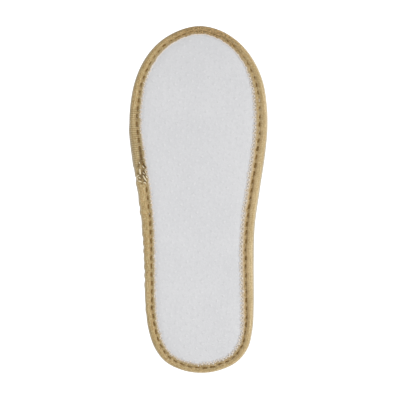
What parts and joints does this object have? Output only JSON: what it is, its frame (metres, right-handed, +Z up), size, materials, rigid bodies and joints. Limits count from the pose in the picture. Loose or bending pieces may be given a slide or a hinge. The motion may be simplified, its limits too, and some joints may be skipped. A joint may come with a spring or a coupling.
{
  "type": "slipper",
  "caption": "Closed-toe guest slipper lying on its inner side: flat dotted sole edged with a folded, stitched tape, soft footbed and a hollow cloth upper open at the heel.",
  "frame": {"origin": "centre of the bounding box's underside, on the floor the slipper lies on", "axes": "+X along the slipper towards the toe, +Y from the tread side to the upper side, +Z up; the slipper lies on its inner side with the sole leaning back 9 degrees and the heel dipped 4 degrees"},
  "size_m": [0.2842, 0.0756, 0.113],
  "materials": {
    "sole_cloth": "white non-slip sole cloth with small raised dots, over foam",
    "footbed_cloth": "white napped cloth over foam",
    "edge_tape": "tan woven tape, folded over the edge and stitched in dark brown",
    "upper_cloth": "white napped cloth with a turned hem"
  },
  "bodies": {
    "root": {"outsole": "sole_cloth", "insole": "footbed_cloth", "binding": "edge_tape", "upper": "upper_cloth"}
  },
  "joints": []
}
